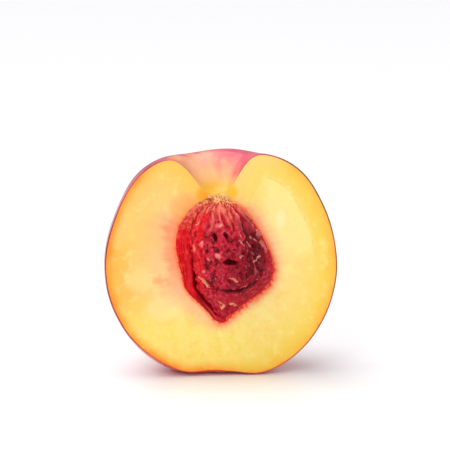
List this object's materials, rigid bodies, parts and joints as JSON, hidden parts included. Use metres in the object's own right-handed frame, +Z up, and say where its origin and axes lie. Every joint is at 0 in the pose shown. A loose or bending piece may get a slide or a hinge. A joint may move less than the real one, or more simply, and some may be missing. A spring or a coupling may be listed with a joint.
{
  "type": "nectarine half",
  "caption": "Half of a ripe nectarine with its stone, cut from stem end to blossom end and standing upright on a small flat spot, cut face forward.",
  "frame": {"origin": "middle of the flat spot that the half stands on, on the surface it stands on", "axes": "+Z up, -Y out of the cut face, which leans back 4 degrees, +X to the right of someone facing the cut face"},
  "size_m": [0.0679, 0.0401, 0.0649],
  "materials": {
    "flesh": "satin",
    "stone": "satin"
  },
  "bodies": {
    "root": {"half_fruit": "flesh", "stone": "stone"}
  },
  "joints": []
}
